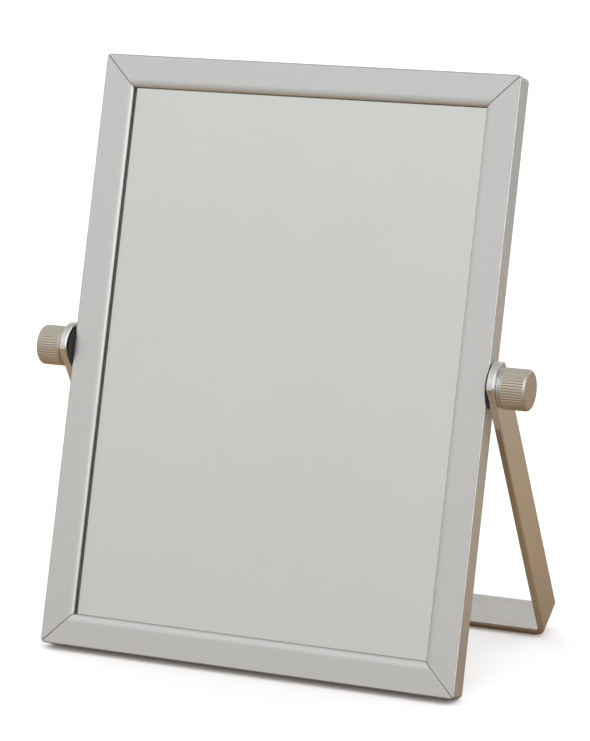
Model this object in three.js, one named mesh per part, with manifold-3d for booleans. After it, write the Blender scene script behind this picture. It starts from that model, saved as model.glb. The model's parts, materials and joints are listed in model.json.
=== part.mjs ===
// Countertop mirror: a framed mirror that tilts between the two legs of a bent steel stand.
// Units are millimetres. +Z is up, X runs across the mirror and the mirror faces -Y.
// The origin is on the table, under the middle of the whole mirror.

import * as THREE from "three";
import { mergeVertices } from "three/addons/utils/BufferGeometryUtils.js";
import Module from "manifold-3d";

const wasm = await Module();
wasm.setup();

// ---------------------------------------------------------------- driving dimensions

const CLEARANCE = 0.3; // left between pieces that touch on the real mirror
const CUT_MARGIN = 1; // how far a cutting tool runs past what it cuts

// How it stands
const FRAME_LEAN = THREE.MathUtils.degToRad(16.1); // the frame's top leans back from upright
const LEG_LEAN = THREE.MathUtils.degToRad(30); // the stand's foot runs back from upright

// Frame
const FRAME_WIDTH = 220;
const FRAME_HEIGHT = 297;
const FRAME_DEPTH = 12;
const FACE_WIDTH = 16; // of a rail, seen from the front
const LIP_THICKNESS = 2; // of the front wall, which runs on over the glass
const WALL = 1.2; // of the rail's other walls
const TUBE_WIDTH = 8; // of the rail's hollow part
const REAR_FLANGE = 2.5; // how far the rear flange stands over the springs
const FACE_EDGE_RADIUS = 0.7; // along the frame's outer front edge
const LIP_ROUND_WIDTH = 4; // of the quarter ellipse that rounds the lip towards the glass
const LIP_ROUND_DEPTH = 1.6;
const CORNER_RADIUS = 2.4; // of the frame's four outer corners, seen from the front
const MITRE_GAP = 0.3;

// Glass pack, from the front to the back
const GLASS_THICKNESS = 3;
const SILVER_THICKNESS = 0.2;
const BOARD_THICKNESS = 2.4;
const PACK_SIDE_GAP = 0.4; // from the glass pack's edge to the rail

// Bowed leaf springs behind the backing board
const SPRING_LENGTH = 56;
const SPRING_WIDTH = 9;
const SPRING_THICKNESS = 0.5;
const SPRING_BOW = 1.2;
const SIDE_SPRING_OFFSET = 75; // from the middle of a side rail to each of its two springs

// Corner keys and their screws
const KEY_ARM = 36;
const KEY_SCREW_OFFSET = 25; // from the frame's outer corner to a screw
const SCREW_RADIUS = 1.3;
const SCREW_LENGTH = 5.5;
const SCREW_HEAD_RADIUS = 2.6;
const SCREW_HEAD_HEIGHT = 1.3;
const RECESS_WIDTH = 0.7;
const RECESS_LENGTH = 2.8;
const RECESS_DEPTH = 0.7;

// Stand, one flat bar bent to a U
const BAR_WIDTH = 20;
const BAR_THICKNESS = 3.8;
const BEND_INNER_RADIUS = 2;
const LEG_END_RADIUS = 12.5; // of the arc that ends each leg, centred on the pivot
const LEG_GAP = 1.4; // between the frame's side and a leg, filled by the rubber washer

// Pivot, from the frame outward
const STUD_RADIUS = 3;
const STUD_HOLE_RADIUS = 3.5;
const NUT_BLOCK_LENGTH = 24;
const RUBBER_WASHER_RADIUS = 10.4;
const FLAT_WASHER_RADIUS = 9.5;
const FLAT_WASHER_THICKNESS = 0.7;
const KNOB_RADIUS = 10;
const KNOB_LENGTH = 13.2;
const KNOB_RIM = 1; // the smooth rim at the knob's inner end
const KNOB_RIM_CHAMFER = 0.5;
const KNOB_END_RADIUS = 1.8; // of the round along the knob's outer end
const KNURL_COUNT = 44;
const KNURL_DEPTH = 0.28;
const KNOB_BORE_DEPTH = 9;
const STUD_IN_KNOB = 8.6;
const STUD_TIP_CHAMFER = 0.6;

// Smoothness of round faces
const ROUND_SEGMENTS = 48;
const SMALL_ROUND_SEGMENTS = 20;
const ARC_SEGMENTS = 6;

// ---------------------------------------------------------------- derived dimensions

const halfDepth = FRAME_DEPTH / 2;
const glassFront = LIP_THICKNESS + CLEARANCE;
const silverFront = glassFront + GLASS_THICKNESS + CLEARANCE;
const boardFront = silverFront + SILVER_THICKNESS + CLEARANCE;
const springFront = boardFront + BOARD_THICKNESS + CLEARANCE;
const packInset = TUBE_WIDTH + PACK_SIDE_GAP; // from the frame's outer edge to the glass pack's edge

// Whatever sits in a rail's hollow clears its walls.
const hollowInset = WALL + CLEARANCE;
const hollowWidth = TUBE_WIDTH - 2 * hollowInset;
const hollowFront = LIP_THICKNESS + CLEARANCE;
const hollowDepth = FRAME_DEPTH - WALL - CLEARANCE - hollowFront;

const halfBar = BAR_WIDTH / 2;
const legInnerX = FRAME_WIDTH / 2 + LEG_GAP;
const legOuterX = legInnerX + BAR_THICKNESS;
const washerX = legOuterX + CLEARANCE;
const knobX = washerX + FLAT_WASHER_THICKNESS + CLEARANCE;

// The pivot is in the middle of the frame, and the frame stands on its lower back edge.
const pivotHeight = (FRAME_HEIGHT / 2) * Math.cos(FRAME_LEAN) + halfDepth * Math.sin(FRAME_LEAN);
// The legs are just long enough for the front edge of the crossbar to reach the table.
const legReach = (pivotHeight - halfBar * Math.sin(LEG_LEAN)) / Math.cos(LEG_LEAN);

// ---------------------------------------------------------------- materials

const finish = (color, roughness, metalness) => new THREE.MeshStandardMaterial({ color, roughness, metalness });

const anodisedAluminium = () => finish(0xc4c4c2, 0.38, 0.9);
const zincDieCasting = () => finish(0x8f9193, 0.5, 0.9);
const zincPlate = () => finish(0xb9bcc0, 0.35, 1);
const clearGlass = () => finish(0xd7e4dd, 0.03, 0);
const silver = () => finish(0xcdd0ca, 0.04, 1);
const hardboard = () => finish(0x6b4a33, 0.85, 0);
const springSteel = () => finish(0x5f6468, 0.35, 1);
const brushedSteel = () => finish(0xa89c8c, 0.34, 1);
const blackRubber = () => finish(0x17171a, 0.75, 0);
const satinNickel = () => finish(0xb3a692, 0.28, 1);

// ---------------------------------------------------------------- shape helpers

// A closed geometry as a solid that can be joined and cut.
function toSolid(geometry) {
  const bare = geometry.clone();
  bare.deleteAttribute("normal");
  bare.deleteAttribute("uv");
  const merged = mergeVertices(bare);
  const mesh = new wasm.Mesh({
    numProp: 3,
    vertProperties: new Float32Array(merged.attributes.position.array),
    triVerts: new Uint32Array(merged.index.array),
  });
  return new wasm.Manifold(mesh);
}

function toGeometry(solid) {
  const { vertProperties, triVerts } = solid.getMesh();
  const geometry = new THREE.BufferGeometry();
  geometry.setAttribute("position", new THREE.BufferAttribute(vertProperties, 3));
  geometry.setIndex(new THREE.BufferAttribute(triVerts, 1));
  geometry.computeVertexNormals();
  return geometry;
}

function cut(geometry, tools) {
  const left = tools.reduce((solid, tool) => solid.subtract(toSolid(tool)), toSolid(geometry));
  return toGeometry(left);
}

function extrude(shape, depth) {
  return new THREE.ExtrudeGeometry(shape, { depth, bevelEnabled: false, curveSegments: ARC_SEGMENTS });
}

// A shape drawn in X and Z, as thick as depth, from y = front backwards.
function plateXZ(shape, front, depth) {
  return extrude(shape, depth).rotateX(Math.PI / 2).translate(0, front + depth, 0);
}

// A shape drawn in Y and Z, centred on x = 0.
function plateYZ(shape, width) {
  const turn = new THREE.Matrix4().makeBasis(
    new THREE.Vector3(0, 1, 0),
    new THREE.Vector3(0, 0, 1),
    new THREE.Vector3(1, 0, 0),
  );
  return extrude(shape, width).translate(0, 0, -width / 2).applyMatrix4(turn);
}

function outline(points) {
  return new THREE.Shape(points.map(([a, b]) => new THREE.Vector2(a, b)));
}

function rectangle(left, bottom, right, top) {
  return outline([[left, bottom], [right, bottom], [right, top], [left, top]]);
}

// A turned piece with its axis along X. The profile is a list of [radius, x], going round towards +X.
function turned(profile, segments) {
  const points = profile.map(([radius, x]) => new THREE.Vector2(radius, x));
  return new THREE.LatheGeometry(points, segments).rotateZ(-Math.PI / 2);
}

function rodAlongX(radius, length, segments) {
  return new THREE.CylinderGeometry(radius, radius, length, segments).rotateZ(Math.PI / 2);
}

function rodAlongY(radius, length, segments) {
  return new THREE.CylinderGeometry(radius, radius, length, segments);
}

function piece(name, geometry, material) {
  const mesh = new THREE.Mesh(geometry, material);
  mesh.name = name;
  return mesh;
}

// Puts a piece on one side of the frame: 0 bottom, 1 left, 2 top, 3 right.
function onSide(quarter, mesh) {
  const side = new THREE.Group();
  side.rotation.y = (quarter * Math.PI) / 2;
  side.add(mesh);
  return side;
}

// ---------------------------------------------------------------- frame rails

// The rail's section: x is the distance in from the frame's outer edge, y the depth from the front.
function railSection() {
  const roundStart = FACE_WIDTH - LIP_ROUND_WIDTH;
  const section = new THREE.Shape();
  section.moveTo(0, FACE_EDGE_RADIUS);
  section.absarc(FACE_EDGE_RADIUS, FACE_EDGE_RADIUS, FACE_EDGE_RADIUS, Math.PI, 1.5 * Math.PI, false);
  section.lineTo(roundStart, 0);
  section.absellipse(roundStart, LIP_ROUND_DEPTH, LIP_ROUND_WIDTH, LIP_ROUND_DEPTH, -Math.PI / 2, 0, false);
  section.lineTo(FACE_WIDTH, LIP_THICKNESS);
  section.lineTo(TUBE_WIDTH, LIP_THICKNESS);
  section.lineTo(TUBE_WIDTH, FRAME_DEPTH - WALL);
  section.lineTo(TUBE_WIDTH + REAR_FLANGE, FRAME_DEPTH - WALL);
  section.lineTo(TUBE_WIDTH + REAR_FLANGE, FRAME_DEPTH);
  section.lineTo(0, FRAME_DEPTH);
  section.holes.push(rectangle(WALL, LIP_THICKNESS, TUBE_WIDTH - WALL, FRAME_DEPTH - WALL));
  return section;
}

// What rounds one outer corner of the frame, with the corner at the origin and the frame towards +X and +Z.
function cornerRounder() {
  const waste = new THREE.Shape();
  waste.moveTo(-CUT_MARGIN, -CUT_MARGIN);
  waste.lineTo(CORNER_RADIUS, -CUT_MARGIN);
  waste.lineTo(CORNER_RADIUS, 0);
  waste.absarc(CORNER_RADIUS, CORNER_RADIUS, CORNER_RADIUS, -Math.PI / 2, -Math.PI, true);
  waste.lineTo(-CUT_MARGIN, CORNER_RADIUS);
  return plateXZ(waste, -halfDepth - CUT_MARGIN, FRAME_DEPTH + 2 * CUT_MARGIN);
}

// A bottom rail of a frame that is length wide and span high, its ends mitred.
function mitredRail(length, span) {
  const rail = extrude(railSection(), 1);
  const position = rail.attributes.position;
  const fullHalf = length / 2 - (MITRE_GAP / 2) * Math.SQRT2;
  for (let i = 0; i < position.count; i += 1) {
    const inward = position.getX(i);
    const depth = position.getY(i);
    const end = 1 - 2 * position.getZ(i);
    position.setXYZ(i, end * (fullHalf - inward), depth - halfDepth, inward - span / 2);
  }
  return rail;
}

function railTools(length, span) {
  const rightEnd = cornerRounder().rotateY(-Math.PI / 2);
  const tools = [
    cornerRounder().translate(-length / 2, 0, -span / 2),
    rightEnd.translate(length / 2, 0, -span / 2),
  ];
  for (const end of [-1, 1]) {
    const hole = rodAlongY(SCREW_RADIUS + CLEARANCE, 2 * WALL + 2 * CUT_MARGIN, SMALL_ROUND_SEGMENTS);
    hole.translate(end * (length / 2 - KEY_SCREW_OFFSET), halfDepth, TUBE_WIDTH / 2 - span / 2);
    tools.push(hole);
  }
  return tools;
}

function plainRail(length, span) {
  return cut(mitredRail(length, span), railTools(length, span));
}

// A side rail also has the pivot's hole through its outer wall.
function pivotRail(length, span) {
  const hole = rodAlongY(STUD_HOLE_RADIUS, WALL + 2 * CUT_MARGIN, SMALL_ROUND_SEGMENTS);
  hole.rotateX(Math.PI / 2).translate(0, 0, -span / 2 + WALL / 2);
  return cut(mitredRail(length, span), [...railTools(length, span), hole]);
}

function rails() {
  return [
    onSide(0, piece("bottom_rail", plainRail(FRAME_WIDTH, FRAME_HEIGHT), anodisedAluminium())),
    onSide(1, piece("left_rail", pivotRail(FRAME_HEIGHT, FRAME_WIDTH), anodisedAluminium())),
    onSide(2, piece("top_rail", plainRail(FRAME_WIDTH, FRAME_HEIGHT), anodisedAluminium())),
    onSide(3, piece("right_rail", pivotRail(FRAME_HEIGHT, FRAME_WIDTH), anodisedAluminium())),
  ];
}

// ---------------------------------------------------------------- corner keys and screws

// An L that slides into the hollow of two rails, with the frame's outer corner at the origin.
function cornerKey() {
  const near = hollowInset;
  const far = hollowInset + hollowWidth;
  const key = plateXZ(
    outline([[near, near], [KEY_ARM, near], [KEY_ARM, far], [far, far], [far, KEY_ARM], [near, KEY_ARM]]),
    hollowFront - halfDepth,
    hollowDepth,
  );
  const holes = [[KEY_SCREW_OFFSET, TUBE_WIDTH / 2], [TUBE_WIDTH / 2, KEY_SCREW_OFFSET]].map(([x, z]) => {
    const hole = rodAlongY(SCREW_RADIUS + CLEARANCE, FRAME_DEPTH, SMALL_ROUND_SEGMENTS);
    return hole.translate(x, halfDepth, z);
  });
  return cut(key, holes);
}

// A pan-head screw that goes in from the back, its head just off y = 0.
function keyScrew() {
  const headBase = CLEARANCE;
  const headTop = headBase + SCREW_HEAD_HEIGHT;
  const crown = SCREW_HEAD_RADIUS * 0.7;
  const profile = [
    [0, headBase - SCREW_LENGTH],
    [SCREW_RADIUS, headBase - SCREW_LENGTH],
    [SCREW_RADIUS, headBase],
    [SCREW_HEAD_RADIUS, headBase],
    [SCREW_HEAD_RADIUS, headBase + SCREW_HEAD_HEIGHT / 2],
    [crown, headTop],
    [0, headTop],
  ];
  const points = profile.map(([radius, y]) => new THREE.Vector2(radius, y));
  const screw = new THREE.LatheGeometry(points, SMALL_ROUND_SEGMENTS);
  const recess = [[RECESS_LENGTH, RECESS_WIDTH], [RECESS_WIDTH, RECESS_LENGTH]].map(([x, z]) =>
    new THREE.BoxGeometry(x, 2 * RECESS_DEPTH, z).translate(0, headTop, 0),
  );
  return cut(screw, recess);
}

// Each corner, with the quarter turn that points the key's arms into the frame.
const CORNERS = [
  { name: "bottom_left", x: -1, z: -1, quarter: 0 },
  { name: "top_left", x: -1, z: 1, quarter: 1 },
  { name: "top_right", x: 1, z: 1, quarter: 2 },
  { name: "bottom_right", x: 1, z: -1, quarter: 3 },
];

function cornerFittings() {
  return CORNERS.map(({ name, x, z, quarter }) => {
    const fittings = new THREE.Group();
    fittings.position.set((x * FRAME_WIDTH) / 2, 0, (z * FRAME_HEIGHT) / 2);
    fittings.rotation.y = (quarter * Math.PI) / 2;
    fittings.add(piece(`corner_key_${name}`, cornerKey(), zincDieCasting()));
    const places = [[KEY_SCREW_OFFSET, TUBE_WIDTH / 2], [TUBE_WIDTH / 2, KEY_SCREW_OFFSET]];
    places.forEach(([across, up], index) => {
      const screw = piece(`corner_screw_${name}_${index + 1}`, keyScrew(), zincPlate());
      screw.position.set(across, halfDepth, up);
      fittings.add(screw);
    });
    return fittings;
  });
}

// ---------------------------------------------------------------- glass pack

function packLayer(front, thickness) {
  const halfWidth = FRAME_WIDTH / 2 - packInset;
  const halfHeight = FRAME_HEIGHT / 2 - packInset;
  return plateXZ(rectangle(-halfWidth, -halfHeight, halfWidth, halfHeight), front - halfDepth, thickness);
}

function glassPack() {
  return [
    piece("mirror_glass", packLayer(glassFront, GLASS_THICKNESS), clearGlass()),
    piece("mirror_silvering", packLayer(silverFront, SILVER_THICKNESS), silver()),
    piece("backing_board", packLayer(boardFront, BOARD_THICKNESS), hardboard()),
  ];
}

// A bowed spring: its middle presses on the board, its ends bear on the rear flange. For a bottom rail.
function leafSpring(span) {
  const halfLength = SPRING_LENGTH / 2;
  const radius = (halfLength ** 2 + SPRING_BOW ** 2) / (2 * SPRING_BOW);
  const reach = Math.asin(halfLength / radius);
  const centreDepth = springFront + radius;
  const bow = new THREE.Shape();
  bow.absarc(0, centreDepth, radius, -Math.PI / 2 - reach, -Math.PI / 2 + reach, false);
  bow.absarc(0, centreDepth, radius - SPRING_THICKNESS, -Math.PI / 2 + reach, -Math.PI / 2 - reach, true);
  const spring = extrude(bow, SPRING_WIDTH);
  return spring.translate(0, -halfDepth, packInset - span / 2);
}

function leafSprings() {
  const places = [
    { name: "leaf_spring_bottom", quarter: 0, span: FRAME_HEIGHT, along: 0 },
    { name: "leaf_spring_left_upper", quarter: 1, span: FRAME_WIDTH, along: -SIDE_SPRING_OFFSET },
    { name: "leaf_spring_left_lower", quarter: 1, span: FRAME_WIDTH, along: SIDE_SPRING_OFFSET },
    { name: "leaf_spring_top", quarter: 2, span: FRAME_HEIGHT, along: 0 },
    { name: "leaf_spring_right_upper", quarter: 3, span: FRAME_WIDTH, along: SIDE_SPRING_OFFSET },
    { name: "leaf_spring_right_lower", quarter: 3, span: FRAME_WIDTH, along: -SIDE_SPRING_OFFSET },
  ];
  return places.map(({ name, quarter, span, along }) => {
    const spring = piece(name, leafSpring(span), springSteel());
    spring.position.x = along;
    return onSide(quarter, spring);
  });
}

// ---------------------------------------------------------------- pivot pieces, for the +X side

function ring(radius, holeRadius, thickness) {
  return turned(
    [[holeRadius, 0], [radius, 0], [radius, thickness], [holeRadius, thickness], [holeRadius, 0]],
    ROUND_SEGMENTS,
  );
}

// A threaded steel block inside the side rail, which the stud screws into.
function nutBlock() {
  const block = new THREE.BoxGeometry(hollowWidth, hollowDepth, NUT_BLOCK_LENGTH);
  block.translate(
    FRAME_WIDTH / 2 - hollowInset - hollowWidth / 2,
    hollowFront + hollowDepth / 2 - halfDepth,
    0,
  );
  const hole = rodAlongX(STUD_RADIUS + CLEARANCE, 4 * TUBE_WIDTH, SMALL_ROUND_SEGMENTS);
  return cut(block, [hole.translate(FRAME_WIDTH / 2, 0, 0)]);
}

function rubberWasher() {
  return ring(RUBBER_WASHER_RADIUS, STUD_HOLE_RADIUS, LEG_GAP - 2 * CLEARANCE);
}

function flatWasher() {
  return ring(FLAT_WASHER_RADIUS, STUD_HOLE_RADIUS, FLAT_WASHER_THICKNESS);
}

// The stud, from inside the nut block to inside the knob, with x = 0 at the knob's inner face.
function stud() {
  const inner = FRAME_WIDTH / 2 - hollowInset - hollowWidth - knobX;
  return turned(
    [
      [0, inner],
      [STUD_RADIUS - STUD_TIP_CHAMFER, inner],
      [STUD_RADIUS, inner + STUD_TIP_CHAMFER],
      [STUD_RADIUS, STUD_IN_KNOB],
      [0, STUD_IN_KNOB],
    ],
    SMALL_ROUND_SEGMENTS,
  );
}

// A straight-knurled head with a smooth rim, a rounded outer end and a blind bore for the stud.
function knobHead() {
  const endRound = [];
  for (let step = 0; step <= ARC_SEGMENTS; step += 1) {
    const angle = (step / ARC_SEGMENTS) * (Math.PI / 2);
    const radius = KNOB_RADIUS - KNOB_END_RADIUS * (1 - Math.cos(angle));
    endRound.push([radius, KNOB_LENGTH - KNOB_END_RADIUS * (1 - Math.sin(angle))]);
  }
  const blank = turned(
    [
      [0, 0],
      [KNOB_RADIUS - KNOB_RIM_CHAMFER, 0],
      [KNOB_RADIUS, KNOB_RIM_CHAMFER],
      ...endRound,
      [0, KNOB_LENGTH],
    ],
    2 * KNURL_COUNT,
  );
  const teeth = [];
  for (let i = 0; i < 2 * KNURL_COUNT; i += 1) {
    const angle = (i * Math.PI) / KNURL_COUNT;
    const radius = i % 2 ? KNOB_RADIUS + CUT_MARGIN : KNOB_RADIUS - KNURL_DEPTH;
    teeth.push([radius * Math.cos(angle), radius * Math.sin(angle)]);
  }
  const waste = outline([[-20, -20], [20, -20], [20, 20], [-20, 20]]);
  waste.holes.push(outline(teeth));
  const knurling = plateYZ(waste, KNOB_LENGTH).translate(KNOB_RIM + KNOB_LENGTH / 2, 0, 0);
  const bore = rodAlongX(STUD_RADIUS + CLEARANCE, 2 * KNOB_BORE_DEPTH, SMALL_ROUND_SEGMENTS);
  return cut(blank, [knurling, bore]);
}

// A pivot piece at distance x from the middle, on the +X side or turned round to the -X side.
function atPivot(side, x, mesh) {
  mesh.position.x = x;
  const turn = new THREE.Group();
  turn.rotation.y = side === "right" ? 0 : Math.PI;
  turn.add(mesh);
  return turn;
}

function framePivotPieces(side) {
  return [
    atPivot(side, 0, piece(`nut_block_${side}`, nutBlock(), zincPlate())),
    atPivot(side, FRAME_WIDTH / 2 + CLEARANCE, piece(`rubber_washer_${side}`, rubberWasher(), blackRubber())),
  ];
}

function thumbScrewPieces(side) {
  return [
    atPivot(side, washerX, piece(`flat_washer_${side}`, flatWasher(), zincPlate())),
    atPivot(side, knobX, piece(`threaded_stud_${side}`, stud(), zincPlate())),
    atPivot(side, knobX, piece(`knob_head_${side}`, knobHead(), satinNickel())),
  ];
}

// ---------------------------------------------------------------- stand

// The bent bar seen from the front, in X and Z from the pivot.
function barBentToU() {
  const outer = BEND_INNER_RADIUS + BAR_THICKNESS;
  const inner = BEND_INNER_RADIUS;
  const floor = -legReach;
  const top = LEG_END_RADIUS + CUT_MARGIN;
  const bar = new THREE.Shape();
  bar.moveTo(-legOuterX, top);
  bar.absarc(-legOuterX + outer, floor + outer, outer, Math.PI, 1.5 * Math.PI, false);
  bar.absarc(legOuterX - outer, floor + outer, outer, 1.5 * Math.PI, 2 * Math.PI, false);
  bar.lineTo(legOuterX, top);
  bar.lineTo(legInnerX, top);
  bar.absarc(legInnerX - inner, floor + BAR_THICKNESS + inner, inner, 0, -Math.PI / 2, true);
  bar.absarc(-legInnerX + inner, floor + BAR_THICKNESS + inner, inner, 1.5 * Math.PI, Math.PI, true);
  bar.lineTo(-legInnerX, top);
  return bar;
}

// The leg seen from the side, in Y and Z from the pivot: straight edges that end in an arc.
function legOutline() {
  const cornerAngle = Math.acos(halfBar / LEG_END_RADIUS);
  const below = -legReach - CUT_MARGIN;
  const leg = new THREE.Shape();
  leg.moveTo(-halfBar, below);
  leg.lineTo(halfBar, below);
  leg.absarc(0, 0, LEG_END_RADIUS, cornerAngle, Math.PI - cornerAngle, false);
  return leg;
}

function standBracket() {
  const bent = toSolid(plateXZ(barBentToU(), -BAR_WIDTH, 2 * BAR_WIDTH));
  const trimmed = bent.intersect(toSolid(plateYZ(legOutline(), 2 * FRAME_WIDTH)));
  const pivotHoles = toSolid(rodAlongX(STUD_HOLE_RADIUS, 2 * FRAME_WIDTH, SMALL_ROUND_SEGMENTS));
  return toGeometry(trimmed.subtract(pivotHoles));
}

// ---------------------------------------------------------------- assembly

const mirrorFrame = new THREE.Group();
mirrorFrame.add(...rails(), ...cornerFittings(), ...glassPack(), ...leafSprings());
mirrorFrame.add(...framePivotPieces("left"), ...framePivotPieces("right"));
mirrorFrame.add(...thumbScrewPieces("left"), ...thumbScrewPieces("right"));
mirrorFrame.rotation.x = -FRAME_LEAN;

const stand = new THREE.Group();
stand.add(piece("stand_bracket", standBracket(), brushedSteel()));
stand.rotation.x = LEG_LEAN;

// Both turn about the pivot axis, which is X here. The group is then moved so that the lowest
// edges are on z = 0 and the origin is under the middle of the whole mirror.
const countertopMirror = new THREE.Group();
countertopMirror.add(mirrorFrame, stand);
countertopMirror.position.z = pivotHeight;
const extent = new THREE.Box3().setFromObject(countertopMirror, true);
countertopMirror.position.y = -(extent.min.y + extent.max.y) / 2;

export default countertopMirror;
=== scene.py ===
"""Countertop mirror: the looks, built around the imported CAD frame.

Metres, +Z up. The mirror faces -Y and leans back. Pieces of the frame are made in the frame's own
axes (x across, y from front to back, z up the frame) with the pivot at the origin, and pieces of the
stand likewise in the stand's axes (z up the legs). A matrix then puts them in place.
"""

import json
import math

import bmesh
import bpy
from mathutils import Matrix, Vector
from mathutils.geometry import tessellate_polygon


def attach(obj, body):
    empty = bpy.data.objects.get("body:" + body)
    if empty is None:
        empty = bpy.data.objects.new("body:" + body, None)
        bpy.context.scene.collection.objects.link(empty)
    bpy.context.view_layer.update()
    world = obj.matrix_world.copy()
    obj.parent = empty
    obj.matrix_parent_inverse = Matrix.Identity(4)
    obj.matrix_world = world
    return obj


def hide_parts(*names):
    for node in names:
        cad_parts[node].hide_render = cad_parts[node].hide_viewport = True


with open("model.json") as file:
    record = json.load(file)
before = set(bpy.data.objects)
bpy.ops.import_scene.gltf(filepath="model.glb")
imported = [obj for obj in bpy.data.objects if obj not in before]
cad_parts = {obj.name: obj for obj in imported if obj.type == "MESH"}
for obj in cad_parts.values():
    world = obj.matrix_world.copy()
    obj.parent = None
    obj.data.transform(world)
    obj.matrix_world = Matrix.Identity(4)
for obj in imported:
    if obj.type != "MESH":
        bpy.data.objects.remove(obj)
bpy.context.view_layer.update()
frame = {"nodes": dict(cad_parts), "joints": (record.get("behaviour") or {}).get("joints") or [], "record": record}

MM = 0.001
NODES = frame["nodes"]
SIDES = ("left", "right")
CORNERS = ("bottom_left", "top_left", "top_right", "bottom_right")

# ---------------------------------------------------------------- camera and framing

CAMERA_AZIMUTH = math.radians(23.63)
CAMERA_ELEVATION = math.radians(12.77)
CAMERA_DISTANCE = 1.4046
CAMERA_TARGET = Vector((0.0238, -0.0566, 0.1519))
CAMERA_LENS = 144.0

# ---------------------------------------------------------------- sizes that no node's box gives

CAD_CLEARANCE = 0.3 * MM  # what the CAD leaves between pieces that touch
CONTACT_GAP = 0.05 * MM  # what is left here

LIP_THICKNESS = 2 * MM
WALL = 1.2 * MM
TUBE_WIDTH = 8 * MM
REAR_FLANGE = 2.5 * MM
FACE_EDGE_RADIUS = 0.7 * MM
LIP_ROUND_WIDTH = 4 * MM  # of the quarter ellipse that rounds the lip towards the glass
LIP_ROUND_DEPTH = 1.6 * MM
CORNER_RADIUS = 2.4 * MM
MITRE_GAP = 0.2 * MM
MITRE_EDGE_ROUND = 0.3 * MM  # of the front edges where two rails meet
RAIL_EDGE_ROUND = 0.2 * MM  # of the sharp corners of a rail's section
KEY_SCREW_OFFSET = 25 * MM
SCREW_HOLE_RADIUS = 1.6 * MM

GLASS_EDGE_ROUND = 0.4 * MM
SILVER_GAP = 0.02 * MM  # from the glass's back to the silver coat
SILVER_THICKNESS = 0.15 * MM
SILVER_EDGE_ROUND = 0.03 * MM
BOARD_EDGE_ROUND = 0.35 * MM

SPRING_THICKNESS = 0.5 * MM
SPRING_END_ROUND = 2 * MM
SPRING_EDGE_ROUND = 0.12 * MM

SCREW_HEAD_RADIUS = 2.6 * MM
SCREW_HEAD_HEIGHT = 1.5 * MM
SCREW_SHANK_RADIUS = 1.3 * MM
SCREW_LENGTH = 5.2 * MM
SCREW_EDGE_ROUND = 0.08 * MM
RECESS_HALF_LENGTH = 1.5 * MM
RECESS_HALF_WIDTH = 0.36 * MM
RECESS_DEPTH = 0.9 * MM

BEND_INNER_RADIUS = 2 * MM
LEG_END_RADIUS = 12.5 * MM
BAR_EDGE_ROUND = 0.8 * MM
STUD_RADIUS = 3 * MM
STUD_HOLE_RADIUS = 3.5 * MM
THREAD_PITCH = 1 * MM
THREAD_DEPTH = 0.6 * MM
STUD_TIP_CHAMFER = 0.6 * MM
STUD_TOP_CHAMFER = 0.3 * MM
RUBBER_WASHER_EDGE_ROUND = 0.35 * MM
FLAT_WASHER_HOLE = 3.2 * MM
FLAT_WASHER_EDGE_ROUND = 0.3 * MM

KNOB_RIM = 1 * MM
KNOB_RIM_ROUND = 0.5 * MM
KNOB_END_RADIUS = 1.8 * MM
KNURL_COUNT = 44
KNURL_DEPTH = 0.28 * MM
KNURL_WIDTH = 0.18  # half of a groove, as a share of the knurl's pitch
KNOB_BORE_DEPTH = 9 * MM

ROUND_STEPS = 40  # sides of a round hole


# ---------------------------------------------------------------- the CAD's own axes and boxes

def mount(name):
    return next(m for m in frame["record"]["mounts"] if m["name"] == name)


def joint(name):
    return next(j for j in frame["joints"] if j["name"] == name)


PIVOT = Vector(joint("stand_tilt")["pos_m"])
FRAME_DOWN = Vector(mount("frame_foot")["axis"])
STAND_DOWN = Vector(mount("stand_foot")["axis"])
FRAME_LEAN = math.atan2(-FRAME_DOWN.y, -FRAME_DOWN.z)
LEG_LEAN = math.atan2(STAND_DOWN.y, -STAND_DOWN.z)
FRAME_PLACE = Matrix.Translation(PIVOT) @ Matrix.Rotation(-FRAME_LEAN, 4, "X")
STAND_PLACE = Matrix.Translation(PIVOT) @ Matrix.Rotation(LEG_LEAN, 4, "X")


def local_box(node, place):
    """A CAD node's lowest and highest corners along the axes of place."""
    back = place.inverted()
    corners = [back @ v.co for v in NODES[node].data.vertices]
    low = Vector(min(c[i] for c in corners) for i in range(3))
    high = Vector(max(c[i] for c in corners) for i in range(3))
    return low, high


RAIL_LOW, RAIL_HIGH = local_box("right_rail", FRAME_PLACE)
HALF_WIDTH = RAIL_HIGH.x
HALF_HEIGHT = local_box("top_rail", FRAME_PLACE)[1].z
HALF_DEPTH = RAIL_HIGH.y
FACE_WIDTH = HALF_WIDTH - RAIL_LOW.x

BAR_LOW, BAR_HIGH = local_box("stand_bracket", STAND_PLACE)
HALF_BAR = BAR_HIGH.y
BAR_FLOOR = BAR_LOW.z
LEG_OUTER_X = BAR_HIGH.x
LEG_INNER_X = local_box("rubber_washer_right", FRAME_PLACE)[1].x + CAD_CLEARANCE
BAR_THICKNESS = LEG_OUTER_X - LEG_INNER_X
BEND_RADIUS = BEND_INNER_RADIUS + BAR_THICKNESS / 2  # of the bar's middle line
BEND_X = (LEG_INNER_X + LEG_OUTER_X) / 2 - BEND_RADIUS  # the middle of the bend on the +X side
BEND_Z = BAR_FLOOR + BAR_THICKNESS / 2 + BEND_RADIUS

KNOB_LOW, KNOB_HIGH = local_box("knob_head_right", FRAME_PLACE)
KNOB_X = KNOB_LOW.x
KNOB_LENGTH = KNOB_HIGH.x - KNOB_LOW.x
KNOB_RADIUS = KNOB_HIGH.y


# ---------------------------------------------------------------- mesh helpers

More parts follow.
